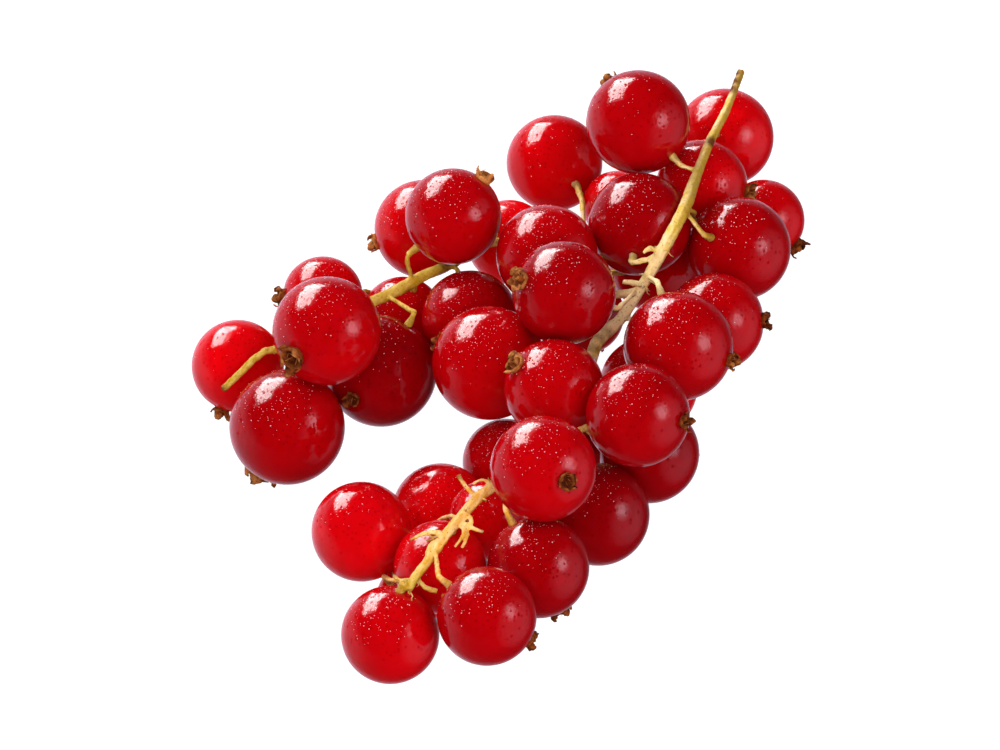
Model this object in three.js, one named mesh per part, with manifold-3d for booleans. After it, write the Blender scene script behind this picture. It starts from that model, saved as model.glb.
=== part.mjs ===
// A sprig of redcurrants, picked and laid on a flat surface. Its pieces are the woody green stem, which
// carries a side branch and the thin stalks, and the berries, each with the dried flower at its far end.
// Millimetres, +Z up. The origin is on the surface, under the middle of the sprig's box.
import * as THREE from "three";
import { mergeVertices } from "three/addons/utils/BufferGeometryUtils.js";
import Module from "manifold-3d";

const wasm = await Module();
wasm.setup();

// ---- Driving dimensions ----

const SPRIG_RISE = 40; // degrees: the sprig's places are given on a face that rises this steeply towards +Y
const PRESSED = 0.12; // how far a berry gives way where it lies on the surface, which makes its flat spot
const BETWEEN_BERRIES = 0.12; // air left between two berries that lie on each other
const FLOWER_WIDTH = 2.4; // the dried flower, across the tips of its lobes
const FLOWER_NECK = 1.4; // its width where it leaves the berry
const FLOWER_LENGTH = 1.5;
const FLOWER_LOBES = 5;
const STALK_WIDTH = 0.6;
const STALK_END_WIDTH = 0.9; // a stalk flares where it meets its berry
const STALK_GAP = 0.3; // air left between a stalk's end and its berry
const STALK_CLEARANCE = 0.25; // air left between a stalk and the berries that it passes
const SUNK = 0.4; // how deep a root is set in what carries it

// How finely the round pieces are made.
const BERRY_SIDES = 12;
const BERRY_BANDS = 8;
const STEM_SIDES = 7;
const STALK_SIDES = 5;
const MAIN_STEM_STEPS = 44;
const SIDE_BRANCH_STEPS = 28;
const STALK_STEPS = 6;

// The berries, from the lowest to the topmost, because each one lies on those before it: the place across
// and up the face, and the width. Flower and stalk are the ways that these point (across, up and out of the
// face), where that matters, from is the place where the stalk leaves its stem, and by holds places that it
// passes. The last four hang in the gaps behind the others, so their places have a third number, out of the
// face.
const BERRIES = [
  { at: [22.7, 24.0], width: 9.9, stalk: [-0.2, 0.05, 0.98], from: [21.3, 24.0, 0] },
  {
    at: [26.6, 15.6], width: 8.2,
    flower: [0.77, -0.63, 0.1], from: [18.4, 16.5, 10.1],
    by: [[18.6, 16.3, 2], [19.4, 14, -5.5]],
  },
  { at: [0.9, 13.4], width: 8.5 },
  {
    at: [5.5, 21.4], width: 9.7,
    stalk: [0.44, -0.45, 0.77], from: [8.5, 9.4, 5.4], by: [[8.5, 15.5, -3]],
  },
  {
    at: [20.3, 19.1], width: 9.2,
    flower: [0.97, -0.15, 0.1], stalk: [-0.15, 0.05, 0.98], from: [19.6, 19.8, 5],
  },
  { at: [-7.7, 14.7], width: 9.9, flower: [-0.96, -0.26, -0.1] },
  { at: [-17.8, 7.9], width: 8.1, flower: [-1, 0, 0.1] },
  { at: [-9.8, 5.7], width: 8.4 },
  {
    at: [13.9, 25.4], width: 10.5,
    flower: [-0.4, 0.68, -0.62], stalk: [0.66, -0.67, 0.35], from: [19.8, 20.3, 4.5],
  },
  {
    at: [24.0, 12.7], width: 10.4,
    flower: [0.6, -0.3, -0.75], stalk: [-0.56, 0.21, 0.8], from: [18.3, 16.3, 10.1],
  },
  { at: [-26.3, 0.9], width: 9.3, flower: [-0.35, -0.93, -0.1], stalk: [0.5, 0.5, -0.7] },
  {
    at: [14.0, 15.1], width: 10.4,
    flower: [0, 0.5, -0.85], stalk: [-0.13, -0.62, 0.77], from: [15.9, 12.3, 11.7],
  },
  { at: [-3.0, 5.6], width: 9.8, flower: [0.2, -0.8, -0.3], stalk: [-0.2, 0.8, -0.55] },
  {
    at: [-4.7, 15.9], width: 9.7,
    flower: [0.6, 0.78, 0.15], stalk: [-0.76, -0.65, 0], by: [[-9.5, 10.6, 6.6]],
  },
  { at: [14.9, -1.1], width: 9.9, stalk: [-0.72, 0, 0.69], from: [9.0, -0.5, 16.2] },
  {
    at: [-11.9, 0.4], width: 11.2,
    flower: [-0.5, -0.5, 0.72], stalk: [0.49, 0.84, 0.24], by: [[-8.7, 6.6, 6.4]],
  },
  { at: [4.7, 12.0], width: 10.2, flower: [0.2, 0.5, -0.85] },
  { at: [21.5, 5.3], width: 9.9, flower: [1, 0.04, 0.1], from: [12.0, 5.5, 12] },
  { at: [0.6, -8.7], width: 8.7 },
  {
    at: [-21.3, -5.2], width: 11.6,
    flower: [-0.44, -0.72, -0.55], stalk: [0.08, 0.95, 0.3], by: [[-22.2, 1.4, 12]],
  },
  { at: [14.9, -7.8], width: 10.1, flower: [0.7, -0.1, -0.7] },
  { at: [-1.1, 1.2], width: 11.4, flower: [-0.85, 0.35, -0.4] },
  {
    at: [-5.9, -13.7], width: 9.8,
    stalk: [0.8, 0.25, 0.5], from: [2.3, -8.7, 25], by: [[-0.6, -10.4, 21.5]],
  },
  { at: [-17.3, 4.4], width: 10.9, flower: [-0.6, -0.47, 0.65] },
  {
    at: [17.8, 2.9], width: 11.0,
    flower: [0.93, -0.26, 0.25], stalk: [-0.3, 0.93, -0.2], from: [15.0, 9.6, 11.3],
  },
  { at: [9.8, -13.9], width: 10.3, flower: [0.4, -0.4, -0.8] },
  { at: [6.4, 8.2], width: 10.4, flower: [-0.82, 0.25, 0.52], from: [14.0, 8.5, 11] },
  {
    at: [-8.7, -22.3], width: 7.3,
    flower: [0.75, -0.55, 0.1], stalk: [-0.6, 0.45, 0.65], by: [[-10.9, -19.8, 30]],
  },
  { at: [5.4, -1.4], width: 10.0, flower: [-0.76, 0.48, 0.44] },
  { at: [-1.2, -14.4], width: 8.0 },
  {
    at: [-13.8, -15.6], width: 10.0,
    flower: [-0.4, 0.3, -0.86], stalk: [0.7, -0.3, -0.65], from: [-4.0, -14.4, 33.4],
    by: [[-4.6, -14.5, 30], [-6.5, -15.6, 27.3]],
  },
  { at: [-5.9, -19.1], width: 9.4 },
  { at: [13.7, -4.0], width: 10.4, flower: [0.88, -0.12, 0.46], stalk: [-0.95, -0.24, -0.2] },
  { at: [-10.9, -25.8], width: 9.8, flower: [-0.15, -0.8, -0.58], stalk: [0.2, 0.9, 0.39] },
  {
    at: [3.8, -19.1], width: 10.2,
    flower: [0.4, -0.78, -0.48], stalk: [-0.5, 0.86, 0.1], from: [0.5, -10.2, 27.8],
  },
  { at: [4.3, -9.3], width: 10.6, flower: [0.43, -0.23, 0.87] },
  {
    at: [-1.3, -23.9], width: 9.9,
    flower: [0.84, -0.46, -0.28], stalk: [-0.77, 0.63, 0.05], from: [-6.4, -17.6, 37],
  },
  { at: [11.8, 17.1, -7.9], width: 7.0 },
  { at: [15.5, 10.9, -3.0], width: 9.0 },
  { at: [8.7, -6.3, 9.3], width: 6.0 },
  { at: [8.5, 6.1, 0.8], width: 8.0 },
];

// The main stem from its picked end: places across, up and out of the face, each with the stem's width there.
const MAIN_STEM = [
  [24.3, 30.6, -7.8, 0.95],
  [22.7, 26.5, -3.2, 0.95],
  [21.2, 23.7, 0.3, 1.15],
  [19.7, 20.0, 4.8, 1.25],
  [18.4, 16.5, 10.1, 1.3],
  [16.8, 13.5, 11.7, 1.6],
  [15.2, 10.5, 11.4, 1.7],
  [14.0, 8.5, 11.0, 1.8],
  [12.0, 5.5, 12.0, 1.55],
  [9.7, 3.3, 13.6, 1.5],
  [8.6, -0.5, 16.2, 1.45],
  [7.0, -3.8, 18.8, 1.4],
  [4.2, -7.0, 22.3, 1.4],
  [1.5, -9.4, 26.2, 1.35],
  [-0.5, -11.0, 29.4, 1.3],
  [-2.0, -12.0, 31.0, 1.3],
  [-3.5, -13.7, 33.0, 1.2],
  [-5.5, -16.0, 36.0, 1.2],
  [-6.8, -18.0, 37.2, 1.15],
  [-8.2, -19.7, 37.4, 1.1],
  [-9.1, -21.3, 38.5, 0.95],
];

// The side branch, from the main stem to its tip.
const SIDE_BRANCH = [
  [13.8, 8.6, 11.0, 1.0],
  [11.7, 8.0, 9.4, 1.0],
  [8.5, 9.4, 5.4, 1.0],
  [6.5, 10.5, 3.9, 1.0],
  [4.5, 11.6, 3.1, 1.0],
  [0.0, 13.5, 2.2, 1.0],
  [-4.5, 11.3, 2.6, 1.05],
  [-8.0, 9.8, 3.9, 1.2],
  [-9.7, 8.8, 5.4, 1.4],
  [-11.5, 7.9, 6.0, 1.2],
  [-13.2, 7.2, 6.4, 1.15],
  [-17.5, 4.8, 8.2, 1.1],
  [-22.1, 2.4, 10.2, 1.3],
];

// Stalks that have lost their berries, and the stubs and bracts at the stem's joints: places from the root to
// the tip, then the width at the root and at the tip.
const BARE_STALKS = [
  { route: [[18.1, 16.0, 10.2], [18.8, 15.9, 10.9]], widths: [0.9, 0.6] },
  { route: [[15.8, 12.6, 11.8], [14.9, 12.7, 12.3], [14.3, 12.2, 12.4]], widths: [0.8, 0.5] },
  { route: [[14.3, 9.0, 11.4], [13.2, 9.3, 11.8], [12.2, 9.3, 11.9]], widths: [0.9, 0.6] },
  { route: [[14.8, 9.6, 11.6], [15.7, 9.2, 12.2], [16.3, 8.5, 12.4]], widths: [0.9, 0.4] },
  {
    route: [[-22.1, 2.6, 10.3], [-23.8, 2.3, 10.9], [-25.5, 0.7, 10.9], [-27.8, -1.5, 10.1]],
    widths: [0.9, 0.9],
  },
  { route: [[-22.0, 2.5, 10.3], [-22.4, 3.6, 10.9]], widths: [1.1, 0.5] },
  { route: [[-0.9, -10.8, 29.8], [-1.8, -10.4, 30.4], [-2.8, -10.9, 30.8]], widths: [0.5, 0.4] },
  { route: [[-2.2, -12.2, 31.2], [-3.4, -11.1, 31.8], [-4.2, -9.9, 31.8]], widths: [0.6, 0.6] },
  { route: [[-3.5, -13.7, 33.0], [-2.8, -14.5, 34.0], [-3.0, -15.1, 34.4]], widths: [0.9, 0.5] },
  { route: [[-4.0, -14.4, 33.8], [-3.0, -15.1, 34.4], [-1.6, -15.6, 34.4]], widths: [0.6, 0.5] },
  { route: [[-3.9, -14.5, 33.8], [-3.6, -15.8, 35.2], [-4.5, -17.1, 36.3]], widths: [0.6, 0.45] },
  { route: [[-3.9, -14.5, 33.8], [-3.2, -15.8, 34.6], [-3.8, -17.2, 35.6]], widths: [0.6, 0.45] },
  { route: [[-5.9, -15.7, 36.2], [-7.0, -15.6, 36.4], [-9.0, -16.4, 36.0]], widths: [0.8, 0.4] },
  { route: [[-6.2, -16.4, 36.4], [-6.9, -16.8, 37.0], [-7.3, -17.8, 37.4]], widths: [0.6, 0.5] },
  { route: [[-8.5, -20.2, 37.2], [-10.0, -20.4, 36.4], [-10.7, -19.7, 35.6]], widths: [0.6, 0.5] },
  { route: [[-8.4, -20.0, 37.2], [-7.4, -21.1, 37.1], [-6.2, -21.5, 37.0]], widths: [0.6, 0.7] },
];

// ---- Places ----

const rise = THREE.MathUtils.degToRad(SPRIG_RISE);

// A place on the face, from across, up and out, as a point over the surface.
function place([across, up, out]) {
  return new THREE.Vector3(
    across,
    up * Math.cos(rise) - out * Math.sin(rise),
    up * Math.sin(rise) + out * Math.cos(rise),
  );
}

function way(direction) {
  return place(direction).normalize();
}

function curveThrough(points) {
  return new THREE.CatmullRomCurve3(points, false, "centripetal");
}

// Lets each berry down square to the face until it meets the surface or a berry that is already there, but
// leaves a hung one where it is.
function settle(rows) {
  const set = [];
  for (const row of rows) {
    const [across, up, hung] = row.at;
    const radius = row.width / 2;
    let out = hung ?? (radius - PRESSED - up * Math.sin(rise)) / Math.cos(rise);
    for (const other of hung === undefined ? set : []) {
      const apart = Math.hypot(across - other.across, up - other.up);
      const reach = radius + other.radius + BETWEEN_BERRIES;
      if (apart < reach)
        out = Math.max(out, other.out + Math.sqrt(reach ** 2 - apart ** 2));
    }
    const centre = place([across, up, out]);
    set.push({ ...row, across, up, out, radius, centre });
  }
  return set;
}

// ---- Solids ----

// A closed geometry as a manifold-3d solid, and back.
function solid(geometry) {
  const bare = geometry.clone();
  bare.deleteAttribute("normal");
  bare.deleteAttribute("uv");
  const merged = mergeVertices(bare, 1e-4);
  return new wasm.Manifold(
    new wasm.Mesh({
      numProp: 3,
      vertProperties: merged.attributes.position.array,
      triVerts: new Uint32Array(merged.index.array),
    }),
  );
}

function geometryOf(body) {
  const { vertProperties, triVerts, numProp } = body.getMesh();
  const flat = new Float32Array((vertProperties.length / numProp) * 3);
  for (let i = 0; i < flat.length / 3; i++)
    flat.set(vertProperties.subarray(i * numProp, i * numProp + 3), i * 3);
  return new THREE.BufferGeometry()
    .setAttribute("position", new THREE.BufferAttribute(flat, 3))
    .setIndex(new THREE.BufferAttribute(triVerts, 1));
}

// A tapered limb along a route: a lathed rod, one unit long for each step, whose rings are set square across
// the curve.
function limb(route, widthAt, sides, steps) {
  const curve = curveThrough(route);
  const { tangents, normals } = curve.computeFrenetFrames(steps);
  const profile = [new THREE.Vector2(0, 0)];
  for (let ring = 0; ring <= steps; ring++)
    profile.push(new THREE.Vector2(widthAt(ring / steps) / 2, ring));
  profile.push(new THREE.Vector2(0, steps));
  const rod = new THREE.LatheGeometry(profile, sides);
  const at = rod.attributes.position;
  const point = new THREE.Vector3();
  for (let i = 0; i < at.count; i++) {
    const ring = Math.round(at.getY(i));
    const sideways = tangents[ring].clone().cross(normals[ring]);
    point
      .copy(curve.getPointAt(ring / steps))
      .addScaledVector(normals[ring], at.getX(i))
      .addScaledVector(sideways, -at.getZ(i));
    at.setXYZ(i, point.x, point.y, point.z);
  }
  return solid(rod);
}

// A width that changes evenly from a limb's root to its tip.
function taper([root, tip]) {
  return (share) => THREE.MathUtils.lerp(root, tip, share);
}

// A stem's width along its curve, from the widths of its rows.
function widthsOf(rows) {
  return (share) => {
    const along = share * (rows.length - 1);
    const row = Math.min(Math.floor(along), rows.length - 2);
    return THREE.MathUtils.lerp(rows[row][3], rows[row + 1][3], along - row);
  };
}

// ---- Berries ----

// The dried flower, standing on +Y at the top of a berry: a stout neck and a cup with a notched rim.
function driedFlower(radius, turn) {
  const profile = [
    new THREE.Vector2(0, -SUNK),
    new THREE.Vector2(FLOWER_NECK / 2, -SUNK),
    new THREE.Vector2(FLOWER_NECK / 2, FLOWER_LENGTH * 0.4),
    new THREE.Vector2(FLOWER_WIDTH / 2, FLOWER_LENGTH),
    new THREE.Vector2(0, FLOWER_LENGTH * 0.6),
  ];
  const rim = 3;
  const cup = new THREE.LatheGeometry(profile, 2 * FLOWER_LOBES);
  const at = cup.attributes.position;
  // Every other corner of the rim is drawn in and down, which leaves the lobes.
  const drawnIn = FLOWER_NECK / FLOWER_WIDTH;
  for (let i = rim; i < at.count; i += 2 * profile.length)
    at.setXYZ(i, at.getX(i) * drawnIn, FLOWER_LENGTH * 0.7, at.getZ(i) * drawnIn);
  cup.rotateY(turn);
  cup.translate(0, radius, 0);
  return solid(cup);
}

function berry({ centre, radius, flowerWay }, number) {
  const profile = [];
  for (let band = 0; band <= BERRY_BANDS; band++) {
    const angle = (band / BERRY_BANDS) * Math.PI;
    const out = band % BERRY_BANDS ? radius * Math.sin(angle) : 0;
    profile.push(new THREE.Vector2(out, -radius * Math.cos(angle)));
  }
  const skin = solid(new THREE.LatheGeometry(profile, BERRY_SIDES));
  const whole = geometryOf(skin.add(driedFlower(radius, number)));
  const upright = new THREE.Vector3(0, 1, 0);
  whole.applyQuaternion(
    new THREE.Quaternion().setFromUnitVectors(upright, flowerWay),
  );
  whole.translate(...centre);
  // What reaches below the surface is pressed flat.
  const reach = 4 * radius;
  const above = new THREE.BoxGeometry(reach, reach, 2 * reach);
  above.translate(centre.x, centre.y, reach);
  return geometryOf(solid(whole).intersect(solid(above)));
}

// ---- Stalks ----

// The point of the stems' curves that a stalk leaves from: the nearest to its given place, or else the one
// that it reaches best, near and with few berries in the way.
function rootFor(one, stems, berries) {
  const start = one.from
    ? place(one.from)
    : one.centre.clone().addScaledVector(one.stalkWay, one.radius);
  const inTheWay = one.from ? [] : berries.filter((other) => other !== one);
  const line = new THREE.Line3();
  const near = new THREE.Vector3();
  let best = { cost: Infinity };
  for (const point of stems.flatMap((stem) => stem.getSpacedPoints(80))) {
    line.set(start, point);
    let cost = line.distance();
    for (const other of inTheWay) {
      line.closestPointToPoint(other.centre, true, near);
      const into = other.radius + STALK_WIDTH - near.distanceTo(other.centre);
      cost += 4 * Math.max(into, 0);
    }
    if (cost < best.cost) best = { cost, point };
  }
  return best.point;
}

// A stalk's route from its root to its berry, bent clear of every berry that it would cross.
function stalkRoute(one, berries) {
  const [before, end] = [STALK_GAP + 1, STALK_GAP].map((gap) =>
    one.centre.clone().addScaledVector(one.stalkWay, one.radius + gap),
  );
  const bends = (one.by ?? []).map(place);
  const points = curveThrough([one.root, ...bends, before]).getSpacedPoints(8);
  const keepOff = STALK_WIDTH / 2 + STALK_CLEARANCE;
  const away = new THREE.Vector3();
  for (let round = 0; round < 80; round++)
    for (let i = 1; i < points.length - 1; i++) {
      away.copy(points[i - 1]).add(points[i + 1]).multiplyScalar(0.5);
      points[i].lerp(away, 0.3);
      for (const other of berries) {
        away.copy(points[i]).sub(other.centre);
        const short = other.radius + keepOff - away.length();
        if (short > 0) points[i].addScaledVector(away.normalize(), short);
      }
    }
  return [...points, end];
}

// ---- The sprig ----

const berries = settle(BERRIES);
const stems = [MAIN_STEM, SIDE_BRANCH].map((rows) => rows.map(place));
const curves = stems.map(curveThrough);
for (const one of berries) {
  if (one.stalk) one.stalkWay = way(one.stalk);
  else if (one.flower) one.stalkWay = way(one.flower).negate();
  else one.stalkWay = new THREE.Vector3();
  one.root = rootFor(one, curves, berries);
  if (!one.stalkWay.length())
    one.stalkWay = one.root.clone().sub(one.centre).normalize();
  one.flowerWay = one.flower ? way(one.flower) : one.stalkWay.clone().negate();
}

let wood = limb(stems[0], widthsOf(MAIN_STEM), STEM_SIDES, MAIN_STEM_STEPS);
wood = wood.add(
  limb(stems[1], widthsOf(SIDE_BRANCH), STEM_SIDES, SIDE_BRANCH_STEPS),
);
for (const { route, widths } of BARE_STALKS)
  wood = wood.add(
    limb(route.map(place), taper(widths), STALK_SIDES, route.length + 1),
  );
for (const one of berries) {
  const flared = (share) =>
    THREE.MathUtils.lerp(STALK_WIDTH, STALK_END_WIDTH, share ** 4);
  wood = wood.add(
    limb(stalkRoute(one, berries), flared, STALK_SIDES, STALK_STEPS),
  );
}

const stemFinish = new THREE.MeshStandardMaterial({
  color: 0xa8a24a,
  roughness: 0.6,
});
const berryFinish = new THREE.MeshStandardMaterial({
  color: 0xb3081a,
  roughness: 0.2,
});

const sprig = new THREE.Group();
const stem = new THREE.Mesh(geometryOf(wood), stemFinish);
stem.name = "stem";
sprig.add(stem);
berries.forEach((one, i) => {
  const piece = new THREE.Mesh(berry(one, i + 1), berryFinish);
  piece.name = "berry_" + String(i + 1).padStart(2, "0");
  sprig.add(piece);
});

// The middle of the sprig's box goes over the origin.
const box = new THREE.Box3().setFromObject(sprig);
sprig.position.set(
  -(box.min.x + box.max.x) / 2,
  -(box.min.y + box.max.y) / 2,
  0,
);

export default sprig;
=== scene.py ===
import math

import bmesh
import bpy
import numpy as np
from mathutils import Matrix, Vector


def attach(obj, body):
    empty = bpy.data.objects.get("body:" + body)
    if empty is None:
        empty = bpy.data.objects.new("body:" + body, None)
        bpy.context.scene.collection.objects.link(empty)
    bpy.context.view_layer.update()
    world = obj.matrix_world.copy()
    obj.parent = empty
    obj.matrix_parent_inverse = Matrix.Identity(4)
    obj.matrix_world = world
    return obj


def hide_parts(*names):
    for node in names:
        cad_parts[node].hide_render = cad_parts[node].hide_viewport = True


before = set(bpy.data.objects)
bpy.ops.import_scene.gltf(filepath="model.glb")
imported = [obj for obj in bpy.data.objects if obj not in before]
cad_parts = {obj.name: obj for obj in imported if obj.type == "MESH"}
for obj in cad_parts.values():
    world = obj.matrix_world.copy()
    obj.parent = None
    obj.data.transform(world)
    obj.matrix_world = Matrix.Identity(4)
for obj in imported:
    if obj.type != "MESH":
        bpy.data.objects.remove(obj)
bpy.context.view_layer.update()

# ---- The camera ----
# It looks down at the sprig from 50 degrees above the surface, from a long way off, and takes in a width of
# 100 mm at the middle of the heap. It aims at a place on the surface 8.6 mm behind the sprig's middle.
mm = 0.001
SEEN_WIDTH = 100 * mm
HEAP_MIDDLE = 15 * mm
CAMERA_DISTANCE = 3.0
SENSOR_WIDTH = 36
camera_data = bpy.data.cameras.new("camera")
camera = bpy.data.objects.new("camera", camera_data)
bpy.context.scene.collection.objects.link(camera)
bpy.context.scene.camera = camera
aim = Vector((-0.35 * mm, 8.62 * mm, 0))
rise = math.radians(50)
to_camera = Vector((0, -math.cos(rise), math.sin(rise)))
camera.location = aim + CAMERA_DISTANCE * to_camera
camera.rotation_euler = to_camera.to_track_quat("Z", "Y").to_euler()
camera_data.sensor_width = SENSOR_WIDTH
camera_data.lens = SENSOR_WIDTH * (CAMERA_DISTANCE - HEAP_MIDDLE) / SEEN_WIDTH
camera_data.clip_end = 20
camera_data.dof.use_dof = False

# ---- The table and the studio light ----
# A plain white table in a dark studio. A long window-like softbox stands low behind it to the left, a small
# one to the right in front, and soft light from the front fills the shadows.
bpy.context.scene.view_settings.view_transform = "Standard"


def put(socket, value):
    """Gives a socket its value, or links another socket to it."""
    if isinstance(value, Value):
        socket.id_data.links.new(value.socket, socket)
    else:
        socket.default_value = value


class Value:
    """A value worked out in a node tree: it wraps a socket, and sums written with it add the Math nodes."""

    def __init__(self, socket):
        self.socket = socket

    def also(self, name):
        """Another output of the same node."""
        return Value(self.socket.node.outputs[name])

    def maths(self, operation, *operands):
        made = self.socket.id_data.nodes.new("ShaderNodeMath")
        made.operation = operation
        for socket, operand in zip(made.inputs, operands):
            put(socket, operand)
        return Value(made.outputs[0])

    def __add__(self, other):
        return self.maths("ADD", self, other)

    def __sub__(self, other):
        return self.maths("SUBTRACT", self, other)

    def __rsub__(self, other):
        return self.maths("SUBTRACT", other, self)

    def __mul__(self, other):
        return self.maths("MULTIPLY", self, other)

    __radd__ = __add__
    __rmul__ = __mul__

    def over(self, low, high):
        """0 where the value is at low or beyond, 1 at high or beyond, and even between them."""
        made = self.socket.id_data.nodes.new("ShaderNodeMapRange")
        put(made.inputs["From Min"], low)
        put(made.inputs["From Max"], high)
        put(made.inputs["Value"], self)
        return Value(made.outputs["Result"])


class Nodes:
    """A node tree, made from empty."""

    prefix = "ShaderNode"

    def __init__(self, tree):
        self.tree = tree
        tree.nodes.clear()

    def node(self, kind, settings=None, inputs=None, output=0):
        """Adds a node: its own settings first, then its sockets' values or links. Returns one output."""
        made = self.tree.nodes.new(self.prefix + kind)
        for name, setting in (settings or {}).items():
            if name == "stops":
                for stop, (at, colour) in enumerate(setting):
                    stops = made.color_ramp.elements
                    element = stops[stop] if stop < 2 else stops.new(at)
                    element.position = at
                    element.color = (*colour, 1)
            else:
                setattr(made, name, setting)
        for name, value in (inputs or {}).items():
            put(made.inputs[name], value)
        return Value(made.outputs[output]) if made.outputs else None

    def noise(self, where, scale, detail=2.0):
        return self.node("TexNoise", None, {"Vector": where, "Scale": scale, "Detail": detail})

    def colours(self, share, one, other):
        """A mix of two colours: one where share is 0, the other where it is 1."""
        one = (*one, 1) if isinstance(one, tuple) else one
        other = (*other, 1) if isinstance(other, tuple) else other
        return self.node("Mix", {"data_type": "RGBA"}, {0: share, 6: one, 7: other}, 2)

    def surface(self, pits=None, **inputs):
        """The Principled surface and the material's output. In its pits it mirrors nothing and is painted a
        quarter darker, a painted shade.
        """
        named = {name.replace("_", " "): value for name, value in inputs.items()}
        shader = self.node("BsdfPrincipled", None, named)
        if pits is not None:
            # Painted shade: the pits' colour is a quarter darker than the skin's.
            pit_painted_shade = self.colours(0.25, named["Base Color"], (0.0, 0.0, 0.0))
            dull = self.node("BsdfPrincipled", None, named | {"Base Color": pit_painted_shade, "Specular IOR Level": 0.0})
            shader = self.node("MixShader", None, {0: pits, 1: shader, 2: dull})
        self.node("OutputMaterial", None, {"Surface": shader})


def new_finish(name):
    """A material with an empty node tree, and that tree."""
    material = bpy.data.materials.new(name)
    material.use_nodes = True
    return material, Nodes(material.node_tree)


table_white, table_nodes = new_finish("white_table")
table_nodes.surface(
    Base_Color=(0.3, 0.3, 0.3, 1),
    Roughness=0.9,
    Specular_IOR_Level=0.0,
    Emission_Color=(1, 1, 1, 1),
    Emission_Strength=0.97,
)
# It reaches 1.5 m each way, far past the camera's view.
FAR = 1.5
table_corners = [(-FAR, -FAR, 0), (FAR, -FAR, 0), (FAR, FAR, 0), (-FAR, FAR, 0)]
table_mesh = bpy.data.meshes.new("table")
table_mesh.from_pydata(table_corners, [], [(0, 1, 2, 3)])
table_mesh.materials.append(table_white)
table = bpy.data.objects.new("table", table_mesh)
bpy.context.scene.collection.objects.link(table)
table.visible_glossy = False
table.visible_diffuse = False
table.visible_shadow = False

# What the skins mirror: a dark room with a pale wall to the right and another low down to the left, over a
# white ground that is brighter to the left and behind.
world = bpy.data.worlds.new("studio")
world.use_nodes = True
room = Nodes(world.node_tree)
way_out = room.node("TexCoord")
to_left = room.node("VectorMath", {"operation": "DOT_PRODUCT"}, {0: way_out, 1: (-0.80, 0.60, 0.0)}, "Value")
down_back = room.node("VectorMath", {"operation": "DOT_PRODUCT"}, {0: way_out, 1: (-0.2, 0.64, -0.74)}, "Value")
height = room.node("SeparateXYZ", None, {"Vector": way_out}, "Z")
to_right = room.node("VectorMath", {"operation": "DOT_PRODUCT"}, {0: way_out, 1: (0.94, -0.33, 0.06)}, "Value")
wall_light = 0.01 + 0.6 * to_right.over(0.62, 0.92) + 0.55 * to_left.over(0.2, 0.9) * height.over(0.30, 0.05)
ground_shine = 0.03 + 0.25 * to_left.over(-0.3, 0.6) + 0.45 * down_back.over(0.7, 1.0)
ground_light = height.over(0.02, -0.06) * ground_shine
background = room.node("Background", None, {"Color": (1, 0.82, 1, 1), "Strength": wall_light + ground_light})
room.node("OutputWorld", None, {"Surface": background})
bpy.context.scene.world = world


def softbox(name, way, along, distance, length, width, radiance):
    """A rectangular light that faces the sprig: it stands in direction way, with its length lying along."""
    way = Vector(way).normalized()
    side = Vector(along)
    side = (side - side.dot(way) * way).normalized()
    light = bpy.data.lights.new(name, "AREA")
    light.shape = "RECTANGLE"
    light.size = length
    light.size_y = width
    light.energy = radiance * math.pi * length * width
    made = bpy.data.objects.new(name, light)
    turned = Matrix((side, way.cross(side), way)).transposed()
    made.matrix_world = Matrix.Translation(aim + distance * way) @ turned.to_4x4()
    bpy.context.scene.collection.objects.link(made)
    return made


WINDOW_WAY = (-0.488, 0.747, 0.453)
WINDOW_LENGTH_WAY = (-0.512, -0.675, 0.53)
window = softbox("window", WINDOW_WAY, WINDOW_LENGTH_WAY, distance=0.8, length=0.80, width=0.39, radiance=7.6)
window.visible_glossy = False
# The window as the skins mirror it: a bright pane within a dim frame.
for name, length, width, radiance in (("window_glint", 0.70, 0.33, 17), ("window_glint_edge", 0.80, 0.43, 2.5)):
    window_glint = softbox(name, WINDOW_WAY, WINDOW_LENGTH_WAY, 0.7, length, width, radiance)
    window_glint.visible_diffuse = False
# The small softbox is round and brightest in its middle, and only the skins mirror it.
SMALL_SOFTBOX_WAY = (0.815, -0.285, 0.505)
for name, across, radiance in (
    ("small_glint", 0.16, 4.0), ("small_glint_rim", 0.30, 3.0), ("small_glint_haze", 0.46, 0.8),
):
    small_glint = softbox(name, SMALL_SOFTBOX_WAY, (0.2, 0.1, 1), 0.7, across, across, radiance)
    small_glint.data.shape = "DISK"
    small_glint.data.color = (1.0, 0.85, 0.95)
    small_glint.visible_diffuse = False
RIGHTWARD = (1, 0, 0)
front_fill = softbox(
    "front_fill", (0.05, -0.69, 0.72), RIGHTWARD, distance=0.8, length=1.0, width=0.8, radiance=4.0
)
front_fill.visible_glossy = False
# What the white table throws up at the berries.
table_bounce = softbox("table_bounce", (0, 0, -1), RIGHTWARD, distance=0.4, length=2.0, width=2.0, radiance=0.5)
table_bounce.visible_glossy = False

# ---- The berries ----
# Forty-one ripe redcurrants, 6 to 12 mm across: a tight, glossy, see-through skin over wet red flesh. Each
# is a ball with a shallow dimple where its stalk is set in, and a flat spot where it lies on the table.
def corners(name):
    """The corners of a CAD node's mesh, in millimetres."""
    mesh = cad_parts[name].data
    flat = np.empty(len(mesh.vertices) * 3)
    mesh.vertices.foreach_get("co", flat)
    return np.unique(np.round(flat.reshape(-1, 3) / mm, 4), axis=0)


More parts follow.
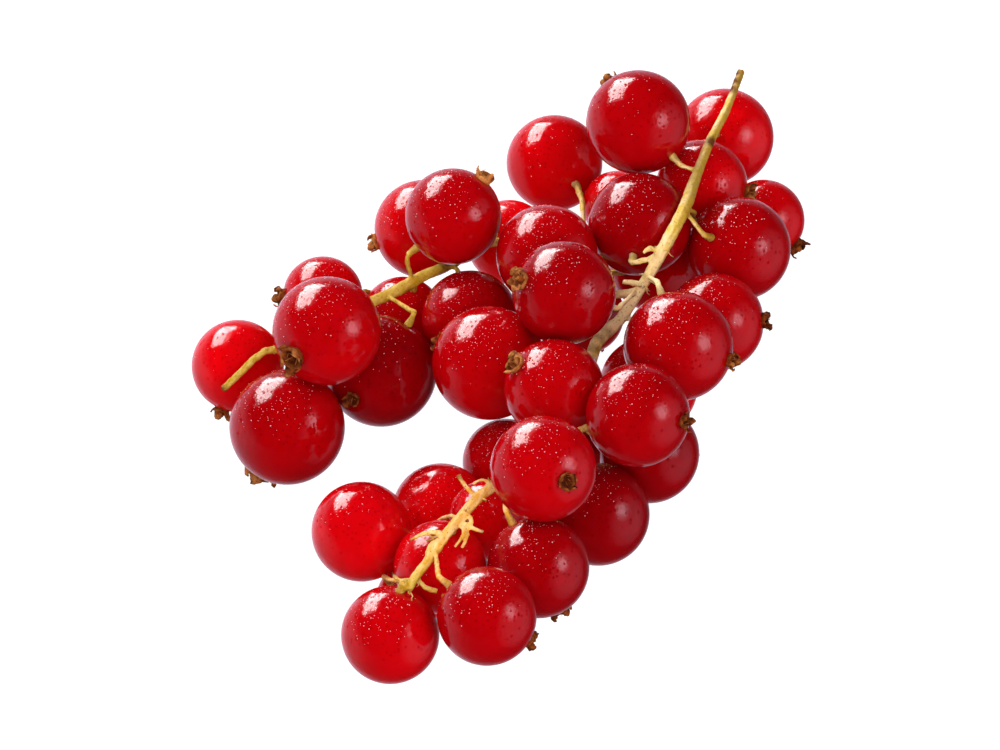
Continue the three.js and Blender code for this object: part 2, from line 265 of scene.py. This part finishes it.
def ball_through(points):
    """The centre and radius of the ball that most of the points lie on.

    A ball is laid through the points again and again, each time through the six tenths that lie nearest it.
    """
    kept = points
    for _ in range(25):
        terms = np.c_[2 * kept, np.ones(len(kept))]
        found = np.linalg.lstsq(terms, (kept**2).sum(1), rcond=None)[0]
        centre = found[:3]
        radius = math.sqrt(found[3] + centre @ centre)
        miss = np.abs(np.linalg.norm(points - centre, axis=1) - radius)
        kept = points[miss <= np.quantile(miss, 0.6)]
    return centre, radius


# A flower that leans out further than its solid's, and shows past its berry's edge.
LEANING = {"berry_09": (-0.524, 0.835, 0.178)}
# The stalks stop this far outside the berries' skins, in millimetres.
STALK_GAP = 0.3


class Berry:
    """Where a berry's CAD node has its middle, its flower and its stalk's end, in millimetres."""

    def __init__(self, name, stem_corners):
        self.name = name
        points = corners(name)
        self.centre, self.radius = ball_through(points)
        off = np.linalg.norm(points - self.centre, axis=1)
        proud = off > (self.radius + off.max()) / 2
        flower_way = LEANING.get(name, (points[proud] - self.centre).mean(0))
        self.flower_way = flower_way / np.linalg.norm(flower_way)
        # The stalk's end is the stem's corner whose distance from the skin is nearest to the gap.
        reach = np.linalg.norm(stem_corners - self.centre, axis=1)
        stalk_end = stem_corners[np.argmin(np.abs(reach - self.radius - STALK_GAP))] - self.centre
        self.stalk_way = stalk_end / np.linalg.norm(stalk_end)
        across = np.cross(self.flower_way, (0.3, 0.5, 0.8))
        self.across = across / np.linalg.norm(across)
        self.sideways = np.cross(self.flower_way, self.across)

    def turned(self, turn):
        """A direction square to the flower's axis."""
        return math.cos(turn) * self.across + math.sin(turn) * self.sideways


stem_corners = corners("stem")
berries = [Berry(name, stem_corners) for name in sorted(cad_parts) if name.startswith("berry_")]

# How dark each berry's flesh is, 0 bright red and 1 maroon: partly its ripeness, and partly painted light and
# shade, each value set so that the berry shows the tone it has among its neighbours.
RIPENESS_AND_SHADE = {
    "berry_01": 0.16, "berry_02": 0.24, "berry_03": 0.04, "berry_04": 0.20, "berry_05": 0.22, "berry_06": 0.20,
    "berry_07": 0.30, "berry_08": 0.34, "berry_09": 0.54, "berry_10": 0.58, "berry_11": 0.13, "berry_12": 0.68,
    "berry_13": 0.54, "berry_14": 0.52, "berry_15": 0.15, "berry_16": 0.83, "berry_17": 0.46, "berry_18": 0.43,
    "berry_19": 0.40, "berry_20": 0.61, "berry_21": 0.74, "berry_22": 0.48, "berry_23": 0.08, "berry_24": 0.48,
    "berry_25": 0.53, "berry_26": 0.76, "berry_27": 0.67, "berry_28": 0.04, "berry_29": 0.43, "berry_30": 0.17,
    "berry_31": 0.20, "berry_32": 0.20, "berry_33": 0.61, "berry_34": 0.35, "berry_35": 0.68, "berry_36": 0.45,
    "berry_37": 0.55, "berry_38": 0.10, "berry_39": 0.45, "berry_40": 0.60, "berry_41": 0.55,
}


def flesh_red(nodes, where):
    """The red of the flesh under the skin, blotched, and darker in a riper berry and where shade is painted in.
    """
    ripeness_and_shade = nodes.node("Attribute", {"attribute_name": "ripeness_and_shade"}, output="Fac")
    blotches = nodes.noise(where, 300.0, 3.0)
    return nodes.node(
        "ValToRGB",
        {
            "stops": [
                (0.0, (0.86, 0.0014, 0.005)), (0.2, (0.58, 0.0010, 0.004)), (0.6, (0.36, 0.0004, 0.0025)),
                (1.0, (0.13, 0.0002, 0.0015)),
            ]
        },
        {"Fac": ripeness_and_shade + 0.25 * (blotches - 0.5)},
    )


berry_red, skin = new_finish("berry_skin")
where = skin.node("TexCoord", output="Object")
upward = skin.node("SeparateXYZ", None, {"Vector": skin.node("NewGeometry", output="Normal")}, "Z")
grain = skin.noise(where, 5000.0, 2.0)
swells = skin.noise(where, 1500.0, 3.0)
relief = 0.02 * grain + 0.16 * swells
# Tiny pits that mirror nothing and are painted a quarter darker, a painted shade, 0.1 to 0.25 mm across, on the
# upper side only.
# Each cell draws a lot, which decides whether it has a pit and how wide that is.
cell = skin.node("TexVoronoi", None, {"Vector": where, "Scale": 2600.0, "Randomness": 1.0})
lot = skin.node("SeparateColor", None, {"Color": cell.also("Color")}, "Red")
pitted = (lot + upward).over(1.25, 1.3)
pits = cell.over(0.2 + 0.3 * lot, 0.0).over(0.0, 0.4) * pitted
skin.surface(
    pits=0.95 * pits,
    Base_Color=flesh_red(skin, where),
    Roughness=0.08,
    IOR=1.38,
    Subsurface_Weight=1.0,
    Subsurface_Radius=(1.0, 0.12, 0.08),
    Subsurface_Scale=4.0 * mm,
    Normal=skin.node("Bump", None, {"Strength": 1.0, "Distance": 0.00022, "Height": relief}),
)

# Dew: fine drops of water on the upper side of each berry, about 0.1 mm across, painted pinkish white: a
# painted highlight that stands for the window's glint on each drop.
dew_painted_white, dew = new_finish("dew")
# Painted highlight: the drops are painted pinkish white.
dew.surface(Base_Color=(0.90, 0.52, 0.55, 1), Roughness=0.2, IOR=1.4)


class Tree(Nodes):
    """A Geometry Nodes tree with named inputs. The kinds of its nodes are given in full."""

    prefix = ""

    def __init__(self, name, inputs):
        super().__init__(bpy.data.node_groups.new(name, "GeometryNodeTree"))
        self.tree.interface.new_socket("Geometry", in_out="INPUT", socket_type="NodeSocketGeometry")
        self.identifiers = {}
        for title, kind in inputs.items():
            made = self.tree.interface.new_socket(title, in_out="INPUT", socket_type="NodeSocket" + kind)
            self.identifiers[title] = made.identifier
        self.tree.interface.new_socket("Geometry", in_out="OUTPUT", socket_type="NodeSocketGeometry")
        self.given = self.tree.nodes.new("NodeGroupInput").outputs

    def input(self, title):
        return Value(self.given[title])

    def apply(self, piece, **values):
        """Runs the tree on a piece with these inputs and leaves it as a plain mesh."""
        modifier = piece.modifiers.new("made", "NODES")
        modifier.node_group = self.tree
        for title, value in values.items():
            modifier[self.identifiers[title]] = value
        evaluated = piece.evaluated_get(bpy.context.evaluated_depsgraph_get())
        finished = bpy.data.meshes.new_from_object(evaluated)
        piece.modifiers.clear()
        piece.data = finished


drops = Tree(
    "dew_drops",
    {"Seed": "Int", "Density": "Float", "Smallest": "Float", "Largest": "Float", "Water": "Material"},
)
# The drops stay where the skin faces up and a little to the left, towards where the window's highlight lies, so
# that their painted white reads as its glints.
GLINT_WAY = (-0.30, 0.05, 0.95)
facing = drops.node("GeometryNodeInputNormal")
facing_up = drops.node("ShaderNodeVectorMath", {"operation": "DOT_PRODUCT"}, {0: facing, 1: GLINT_WAY}, "Value")
mostly_up = facing_up.over(0.3, 1.0)
spots = drops.node(
    "GeometryNodeDistributePointsOnFaces",
    {"distribute_method": "RANDOM"},
    {
        "Mesh": drops.input("Geometry"),
        "Density": drops.input("Density") * mostly_up * mostly_up * mostly_up,
        "Seed": drops.input("Seed"),
    },
)
draw = drops.node("FunctionNodeRandomValue", {"data_type": "FLOAT"}, {"Seed": drops.input("Seed")}, 1)
size = drops.input("Smallest") + (drops.input("Largest") - drops.input("Smallest")) * draw * draw * draw
ball = drops.node("GeometryNodeMeshUVSphere", None, {"Segments": 6, "Rings": 4, "Radius": 1.0})
round_ball = drops.node("GeometryNodeSetShadeSmooth", None, {"Geometry": ball})
squashed_ball = drops.node(
    "GeometryNodeTransform", None, {"Geometry": round_ball, "Translation": (0, 0, -0.3), "Scale": (1, 1, 0.8)}
)
placed = drops.node(
    "GeometryNodeInstanceOnPoints",
    None,
    {"Points": spots, "Instance": squashed_ball, "Rotation": spots.also("Rotation"), "Scale": size},
)
real = drops.node("GeometryNodeRealizeInstances", None, {"Geometry": placed})
wet = drops.node("GeometryNodeSetMaterial", None, {"Geometry": real, "Material": drops.input("Water")})
both = drops.node("GeometryNodeJoinGeometry", None, {"Geometry": wet})
put(both.socket.node.inputs["Geometry"], drops.input("Geometry"))
drops.node("NodeGroupOutput", None, {"Geometry": both})

# The usual dew, in drops to a square metre, and the share of it on the berries that are drier than the rest.
USUAL_DEW = 6.0e6
DEW_SHARE = {"berry_01": 0.5, "berry_04": 0.3, "berry_09": 0.2, "berry_11": 0.15, "berry_31": 0.3}
# The depth and the reach of the dimple round the stalk and of the one round the flower, in millimetres.
STALK_DIMPLE = (0.18, 0.7)
FLOWER_DIMPLE = (0.12, 0.9)


def dimple(depth, reach, distance):
    return depth * np.exp(-((distance / reach) ** 2))


# Each skin is built in bands round the line through its flower.
SIDES = 64
BANDS = 36
for number, berry in enumerate(berries):
    ways = [-berry.flower_way]
    for band in range(1, BANDS):
        dip = math.pi * band / BANDS
        for side in range(SIDES):
            square = berry.turned(2 * math.pi * side / SIDES)
            ways.append(math.sin(dip) * square - math.cos(dip) * berry.flower_way)
    ways.append(berry.flower_way)
    ways = np.array(ways)
    from_stalk = np.arccos(np.clip(ways @ berry.stalk_way, -1, 1)) * berry.radius
    from_flower = np.arccos(np.clip(ways @ berry.flower_way, -1, 1)) * berry.radius
    dimples = dimple(*STALK_DIMPLE, from_stalk) + dimple(*FLOWER_DIMPLE, from_flower)
    points = berry.centre + ways * (berry.radius - dimples)[:, None]
    # A berry that lies on the table is flat where it touches.
    points[:, 2] = np.maximum(points[:, 2], 0)
    faces = []
    last = len(points) - 1
    top = last - SIDES
    for side in range(SIDES):
        after = (side + 1) % SIDES
        faces.append((0, 1 + after, 1 + side))
        for low in range(1, top, SIDES):
            faces.append((low + side, low + after, low + SIDES + after, low + SIDES + side))
        faces.append((last, top + side, top + after))
    mesh = bpy.data.meshes.new(berry.name + "_skin")
    mesh.from_pydata((points * mm).tolist(), [], faces)
    mesh.shade_smooth()
    mesh.materials.append(berry_red)
    ripe_and_shade = mesh.attributes.new("ripeness_and_shade", "FLOAT", "POINT")
    ripe_and_shade.data.foreach_set("value", [RIPENESS_AND_SHADE[berry.name]] * len(points))
    piece = bpy.data.objects.new(berry.name + "_skin", mesh)
    bpy.context.scene.collection.objects.link(piece)
    dewy = USUAL_DEW * DEW_SHARE.get(berry.name, 1.0)
    drops.apply(piece, Seed=number, Density=dewy, Smallest=0.025 * mm, Largest=0.07 * mm, Water=dew_painted_white)
    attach(piece, "root")
    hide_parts(berry.name)

# ---- The dried flowers ----
# What is left of each berry's flower, at the end across from its stalk: a papery brown neck 1.4 mm wide with
# five withered lobes that curl, and the dry threads of the stamens inside.
chance = np.random.default_rng(11)


class Scraps:
    """Corners in millimetres, faces and one number for each corner, gathered from many small shapes."""

    def __init__(self):
        self.corners = []
        self.faces = []
        self.pale = []

    def skin_over(self, rings, pale):
        """A closed skin over rings of equally many corners, with a flat lid on the first and last ring."""
        start = len(self.corners)
        sides = len(rings[0])
        for ring, ring_pale in zip(rings, pale):
            self.corners.extend(ring)
            self.pale.extend([ring_pale] * sides)
        for low in range(start, start + (len(rings) - 1) * sides, sides):
            for side in range(sides):
                after = (side + 1) % sides
                self.faces.append((low + side, low + after, low + sides + after, low + sides + side))
        last = start + (len(rings) - 1) * sides
        self.faces.append(tuple(range(start + sides - 1, start - 1, -1)))
        self.faces.append(tuple(range(last, last + sides)))

    def piece(self, name, attribute, material):
        """One mesh of them all, with its faces turned outwards and nothing below the table."""
        points = np.array(self.corners)
        points[:, 2] = np.maximum(points[:, 2], 0.02)
        mesh = bpy.data.meshes.new(name)
        mesh.from_pydata((points * mm).tolist(), [], self.faces)
        stored = mesh.attributes.new(attribute, "FLOAT", "POINT")
        stored.data.foreach_set("value", self.pale)
        shape = bmesh.new()
        shape.from_mesh(mesh)
        bmesh.ops.recalc_face_normals(shape, faces=shape.faces)
        shape.to_mesh(mesh)
        shape.free()
        mesh.shade_smooth()
        mesh.materials.append(material)
        made = bpy.data.objects.new(name, mesh)
        bpy.context.scene.collection.objects.link(made)
        return made


withered_brown, withered = new_finish("withered_brown")
where = withered.node("TexCoord", output="Object")
pale = withered.node("Attribute", {"attribute_name": "pale"}, output="Fac")
blotches = withered.noise(where, 1500.0, 3.0)
creases = withered.noise(where, 4500.0, 3.0)
brown = withered.node(
    "ValToRGB",
    {"stops": [(0.0, (0.07, 0.010, 0.003)), (0.45, (0.26, 0.060, 0.012)), (1.0, (0.72, 0.30, 0.085))]},
    {"Fac": pale + 0.9 * (blotches - 0.5)},
)
withered.surface(
    Base_Color=brown,
    Roughness=0.8,
    Specular_IOR_Level=0.03,
    Normal=withered.node("Bump", None, {"Strength": 1.0, "Distance": 0.0002, "Height": creases}),
)

# How big the flowers are whose size differs, and how pale those whose colour does.
FLOWER_SIZE = {
    "berry_06": 0.9, "berry_09": 0.85, "berry_14": 1.1, "berry_16": 0.8, "berry_18": 0.95, "berry_20": 1.7,
    "berry_22": 0.85, "berry_24": 1.4, "berry_25": 0.9, "berry_27": 1.15, "berry_29": 1.15, "berry_33": 0.85,
    "berry_34": 0.75,
}
FLOWER_PALE = {
    "berry_02": -0.15, "berry_06": 0.35, "berry_09": 0.15, "berry_14": 0.3, "berry_16": -0.2, "berry_18": -0.2,
    "berry_24": 0.15, "berry_27": 0.15, "berry_29": 0.15, "berry_36": -0.05,
}
LOBES = 5
THREADS = 6
# The neck and the cup, each ring's radius and height over the skin, before the flower's own size.
CUP = ((0.6, -0.4), (0.84, 0.0), (0.82, 0.15), (0.94, 0.42), (0.80, 0.50), (0.55, 0.22), (0.15, 0.16))
CUP_PALE = np.array((0.2, 0.25, 0.35, 0.55, 0.4, 0.0, -0.1))
flowers = Scraps()
for berry in berries:
    foot = berry.centre + (berry.radius - 0.1) * berry.flower_way
    size = FLOWER_SIZE.get(berry.name, 1.0)
    pale_here = FLOWER_PALE.get(berry.name, 0.0) + chance.uniform(-0.1, 0.1)
    first_turn = chance.uniform(0, 2 * math.pi)
    opening = chance.uniform(0.0, 1.0)
    rings = []
    wobble = chance.uniform(0.85, 1.15, 10)
    for out, up in CUP:
        ring = []
        for side in range(10):
            around = berry.turned(2 * math.pi * side / 10)
            ragged = up + (chance.uniform(-0.16, 0.16) if up > 0.3 else 0)
            ring.append(foot + size * (ragged * berry.flower_way + out * wobble[side] * around))
        rings.append(ring)
    flowers.skin_over(rings, pale_here + CUP_PALE)
    # Each lobe is a thin strip that leans out of the cup, curls and twists, and reaches 1.2 mm at most.
    for lobe in range(LOBES):
        turn = first_turn + 2 * math.pi * (lobe + chance.uniform(-0.2, 0.2)) / LOBES
        outward = berry.turned(turn)
        along_edge = berry.turned(turn + math.pi / 2)
        lean = chance.uniform(0.0, 0.8) + 0.4 * opening
        curl = chance.uniform(-2.8, 0.2)
        length = chance.uniform(0.45, 1.0)
        twist = chance.uniform(-0.7, 0.7)
        out, up = 0.82, 0.32
        rings = []
        for step in range(6):
            along = step / 5
            lean_here = lean + curl * along
            half = 0.5 * (1 - 0.55 * along**3) * chance.uniform(0.75, 1.2)
            middle = foot + size * (min(out, 1.2) * outward + min(up, 1.25) * berry.flower_way)
            face_way = math.cos(lean_here) * outward - math.sin(lean_here) * berry.flower_way
            edge = math.cos(twist * along) * along_edge + math.sin(twist * along) * face_way
            thick = 0.07 * size * face_way
            cups = [size * chance.uniform(-0.1, 0.35) * half * face_way for _ in range(2)]
            wide = size * half * edge
            rings.append([middle + wide - cups[0], middle + thick, middle - wide - cups[1], middle - thick])
            out += length / 5 * math.sin(lean_here)
            up += length / 5 * math.cos(lean_here)
        flowers.skin_over(rings, pale_here + chance.uniform(0.1, 0.5) + 0.25 * np.linspace(0, 1, 6))
    # Each thread is three-sided, thins towards its end and bends round the cup.
    for _ in range(THREADS):
        turn = chance.uniform(0, 2 * math.pi)
        lean = chance.uniform(-0.2, 0.8)
        bend = chance.uniform(-1.2, 1.2)
        out = chance.uniform(0.05, 0.5)
        tall = chance.uniform(0.3, 0.8)
        rings = []
        for step in range(4):
            along = step / 3
            up = 0.15 + tall * along * math.cos(lean)
            side = out + tall * along * math.sin(lean)
            middle = foot + size * (up * berry.flower_way + min(side, 1.1) * berry.turned(turn + bend * along))
            thick = 0.08 * (1 - 0.5 * along)
            rings.append([middle + thick * berry.turned(2 * math.pi * corner / 3) for corner in range(3)])
        flowers.skin_over(rings, [pale_here + chance.uniform(0.2, 0.9)] * 4)
dried_flowers = flowers.piece("dried_flowers", "pale", withered_brown)
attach(dried_flowers, "root")

# ---- The stem ----
# The picked stem with its side branch and stalks, 0.6 to 1.8 mm thick: green wood, straw-coloured where it
# has dried. Each stalk ends in a small collar that the berry sits in.
stem_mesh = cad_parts["stem"].data.copy()
shape = bmesh.new()
shape.from_mesh(stem_mesh)
bmesh.ops.remove_doubles(shape, verts=shape.verts, dist=0.001 * mm)
for berry in berries:
    # A collar from just inside the stalk's end to just inside the skin, wider at the skin.
    middle = Vector(berry.centre + berry.stalk_way * (berry.radius + 0.12)) * mm
    turn = Vector(berry.stalk_way).to_track_quat("Z", "Y").to_matrix().to_4x4()
    bmesh.ops.create_cone(
        shape,
        cap_ends=True,
        segments=12,
        radius1=0.52 * mm,
        radius2=0.38 * mm,
        depth=0.7 * mm,
        matrix=Matrix.Translation(middle) @ turn,
    )
shape.to_mesh(stem_mesh)
shape.free()
stem = bpy.data.objects.new("green_stem", stem_mesh)
bpy.context.scene.collection.objects.link(stem)
# The collars and the stem become one skin, smoothed where they meet and then roughened like bark.
remesh = stem.modifiers.new("remesh", "REMESH")
remesh.mode = "VOXEL"
remesh.voxel_size = 0.13 * mm
remesh.use_smooth_shade = True
smooth = stem.modifiers.new("smooth", "SMOOTH")
smooth.iterations = 12
smooth.factor = 0.5
bark = bpy.data.textures.new("bark", "CLOUDS")
bark.noise_scale = 0.5 * mm
bark.noise_depth = 2
rough = stem.modifiers.new("rough", "DISPLACE")
rough.texture = bark
rough.texture_coords = "LOCAL"
rough.strength = 0.14 * mm
rough.mid_level = 0.6
evaluated = stem.evaluated_get(bpy.context.evaluated_depsgraph_get())
finished = bpy.data.meshes.new_from_object(evaluated)
stem.modifiers.clear()
stem.data = finished


def on_the_face(across, up, out):
    """A place given across, up and out of the face that rises 40 degrees, in millimetres."""
    tilt = math.radians(40)
    over = up * math.sin(tilt) + out * math.cos(tilt)
    return np.array([across - 0.353, up * math.cos(tilt) - out * math.sin(tilt) + 8.616, over])


# How brown it is painted, and where: where it has dried, most at the cut tip and at the scar, less at the
# joints and at the ends, and least at each collar; and painted shade where the side branch lies hidden, as dark
# as at the tip, and where the upper stem goes under the berries, a little less.
brown_places = [(0.6, berry.centre + berry.stalk_way * (berry.radius + STALK_GAP)) for berry in berries]
for brown, places in (
    (1.3, ((23.8, 31.0, -8.0), (23.6, 30.3, -7.4), (23.4, 29.5, -6.5), (23.1, 28.7, -5.6))),
    (1.2, ((21.4, 23.4, 1.1),)),
    (0.8, ((19.4, 15.9, 10.9), (-4.2, -9.9, 31.8), (-1.4, -15.6, 34.4), (-9.2, -16.4, 36.0))),
    (1.0, ((-27.8, -1.5, 10.1), (-10.7, -19.7, 35.6), (-9.2, 8.0, 5.2))),
    # Painted shade where the upper stem goes under the berries.
    (0.95, ((10.6, 4.1, 13.0), (9.9, 3.5, 13.5), (9.4, 2.4, 14.3), (9.1, 1.2, 15.1))),
    # Painted shade where the side branch lies hidden under the berries.
    (1.3, ((4.5, 11.6, 3.1), (-2.0, 12.7, 2.4), (-4.0, 11.5, 2.5), (-5.6, 10.9, 2.8))),
):
    brown_places += [(brown, on_the_face(*place)) for place in places]
wood_points = np.empty(len(finished.vertices) * 3)
finished.vertices.foreach_get("co", wood_points)
wood_points = wood_points.reshape(-1, 3) / mm

# The upper stem is slimmed towards its middle line: across, up, out, and the share of its width that it keeps.
SLIMMED = (
    (24.3, 30.6, -7.8, 0.95), (22.7, 26.5, -3.2, 0.9), (21.2, 23.7, 0.3, 0.85), (19.7, 20.0, 4.8, 0.88),
    (18.4, 16.5, 10.1, 0.85), (16.8, 13.5, 11.7, 0.8), (15.2, 10.5, 11.4, 0.75), (14.0, 8.5, 11.0, 0.75),
    (12.0, 5.5, 12.0, 0.85),
)
ends = np.array([[*on_the_face(*row[:3]), row[3]] for row in SLIMMED])
shares = np.linspace(0, 1, 12, endpoint=False)[:, None]
line = np.concatenate([low + (high - low) * shares for low, high in zip(ends, ends[1:])])
closest = np.full(len(wood_points), np.inf)
towards = np.zeros((len(wood_points), 3))
for x, y, z, keep in line:
    step = wood_points - (x, y, z)
    away = np.linalg.norm(step, axis=1)
    nearer = away < closest
    closest[nearer] = away[nearer]
    # Only the stem itself, up to 1.1 mm from the line, and not the stalks that leave it.
    fade = np.clip((1.6 - away) / 0.5, 0, 1)
    towards[nearer] = -((1 - keep) * fade[:, None] * step)[nearer]
wood_points += towards
finished.vertices.foreach_set("co", (wood_points * mm).ravel())
BROWN_REACH = 0.8
how_brown = np.zeros(len(wood_points))
for brown, place in brown_places:
    distance = np.linalg.norm(wood_points - place, axis=1)
    how_brown = np.maximum(how_brown, brown * np.exp(-((distance / BROWN_REACH) ** 2)))
dried_and_shade = finished.attributes.new("dried_and_shade", "FLOAT", "POINT")
dried_and_shade.data.foreach_set("value", how_brown)

# Where it is olive: all of the side branch and the lower tip.
from_tip = np.linalg.norm(wood_points - on_the_face(-8.7, -21.0, 38.2), axis=1)
side_branch = np.clip((-2.0 - wood_points[:, 0]) / 2, 0, 1) * np.clip((wood_points[:, 1] + 6) / 3, 0, 1)
how_olive = finished.attributes.new("olive", "FLOAT", "POINT")
how_olive.data.foreach_set("value", np.maximum(side_branch, np.exp(-((from_tip / 2.6) ** 2))))

green_wood, wood = new_finish("green_wood")
where = wood.node("TexCoord", output="Object")
facing = wood.node("NewGeometry", output="Normal")
upward = wood.node("SeparateXYZ", None, {"Vector": facing}, "Z")
rightward = wood.node("SeparateXYZ", None, {"Vector": facing}, "X")
back = wood.node("SeparateXYZ", None, {"Vector": where}, "Y")
along_stem = wood.node(
    "Mapping",
    {"vector_type": "TEXTURE"},
    {"Vector": where, "Rotation": (0, 0, math.radians(64)), "Scale": (5, 1, 1)},
)
blotches = wood.noise(where, 600.0, 4.0)
streaks = wood.noise(along_stem, 2200.0, 3.0)
grain = wood.noise(where, 4000.0, 3.0)
# Streaked all over: straw and green behind, a warmer straw in front, olive on the side branch. Painted paler on
# the lower main stem, a painted light where the berries shade it; painted shade on its right-hand edge and
# underneath; speckled; and brown at its ends, with painted shade where it passes under the berries.
green = (0.4 * blotches + 0.6 * streaks).over(0.40, 0.60)
fresh = wood.colours(green, (0.98, 0.72, 0.36), (0.80, 0.55, 0.10))
warm = wood.colours(green, (0.98, 0.66, 0.28), (0.84, 0.40, 0.04))
olive = wood.colours(green, (0.80, 0.55, 0.13), (0.50, 0.30, 0.014))
tan = wood.colours(back.over(5 * mm, -8 * mm), fresh, warm)
# Painted light: 4 to 12 mm back, the lower main stem that the berries shade is painted a paler cream.
painted_light_low_stem = wood.colours(back.over(12 * mm, 6 * mm) * back.over(1 * mm, 4 * mm), tan, (1.0, 0.76, 0.40))
mixed = wood.colours(wood.node("Attribute", {"attribute_name": "olive"}, output="Fac"), painted_light_low_stem, olive)
# Painted shade: the right-hand side of the upper stem is painted darker, as if turned from the window.
right_edge = 0.85 * rightward.over(-0.3, 0.5) * back.over(8 * mm, 14 * mm)
painted_shade_right_side = wood.colours(right_edge, mixed, (0.43, 0.24, 0.008))
speckled = wood.colours(0.7 * grain.over(0.40, 0.30), painted_shade_right_side, (0.30, 0.12, 0.02))
# Painted shade: where the stem faces down it is painted dark brown.
shaded = wood.colours(upward.over(0.35, -0.5), speckled, (0.36, 0.16, 0.02))
# This value paints brown both where the stem has dried and, as painted shade, where it passes under the
# berries.
dryness_and_shade = wood.node("Attribute", {"attribute_name": "dried_and_shade"}, output="Fac")
browned_and_shaded = wood.colours((dryness_and_shade + 0.6 * (grain - 0.5)).over(0.2, 0.9), shaded, (0.14, 0.04, 0.008))
ridges = wood.node("Bump", None, {"Strength": 0.7, "Distance": 0.0002, "Height": grain})
wood.surface(
    Base_Color=browned_and_shaded,
    Roughness=0.6,
    Specular_IOR_Level=0.06,
    Subsurface_Weight=0.2,
    Subsurface_Radius=(1.0, 0.6, 0.2),
    Subsurface_Scale=0.3 * mm,
    Normal=ridges,
)
finished.materials.clear()
finished.materials.append(green_wood)
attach(stem, "root")
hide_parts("stem")

# ---- The bracts ----
# Small dry scales, under a millimetre long, that stand out from the stem at each joint, and the frayed
# fibres at its lower tip.
bracts = Scraps()
# Where the joints are, as across, up and out of the face, and how many scales each has.
JOINTS = [
    ((18.2, 16.2, 10.2), 4), ((16.3, 12.7, 11.8), 4), ((14.3, 9.1, 11.4), 5), ((14.9, 10.0, 11.5), 3),
    ((-9.9, 8.7, 5.5), 3), ((-22.1, 2.6, 10.3), 4), ((-0.8, -10.9, 29.8), 3), ((-2.2, -12.2, 31.2), 4),
    ((-3.6, -13.9, 33.2), 5), ((-6.2, -16.4, 36.4), 5), ((-8.4, -20.0, 37.4), 3), ((-9.1, -21.2, 38.4), 6),
]
for place, count in JOINTS:
    middle = on_the_face(*place)
    # The way that the stem runs here, towards the front.
    near = wood_points[np.linalg.norm(wood_points - middle, axis=1) < 1.6]
    axis = np.linalg.svd(near - near.mean(0))[2][0]
    if axis @ (0, 1, 0) > 0:
        axis = -axis
    # Each scale stands out from the wood, narrows to its tip and leans along the stem.
    for _ in range(count):
        outward = np.cross(axis, chance.normal(size=3))
        outward /= np.linalg.norm(outward)
        edge_way = np.cross(axis, outward)
        lean = chance.uniform(0.1, 1.1)
        length = chance.uniform(0.5, 1.0)
        rings = []
        for step in range(5):
            along = step / 4
            half = 0.26 * (1 - 0.8 * along) * chance.uniform(0.8, 1.2)
            bend = lean + chance.uniform(-0.1, 0.3) * along
            reach = 0.45 + length * along
            at = middle + reach * math.cos(bend) * outward + length * along * math.sin(bend) * axis
            thick = 0.05 * (outward * math.sin(bend) - axis * math.cos(bend))
            rings.append([at + half * edge_way, at + thick, at - half * edge_way, at - thick])
        bracts.skin_over(rings, 0.1 + 0.5 * np.linspace(0, 1, 5) + chance.uniform(-0.1, 0.1))
stem_bracts = bracts.piece("stem_bracts", "dried_and_shade", green_wood)
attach(stem_bracts, "root")
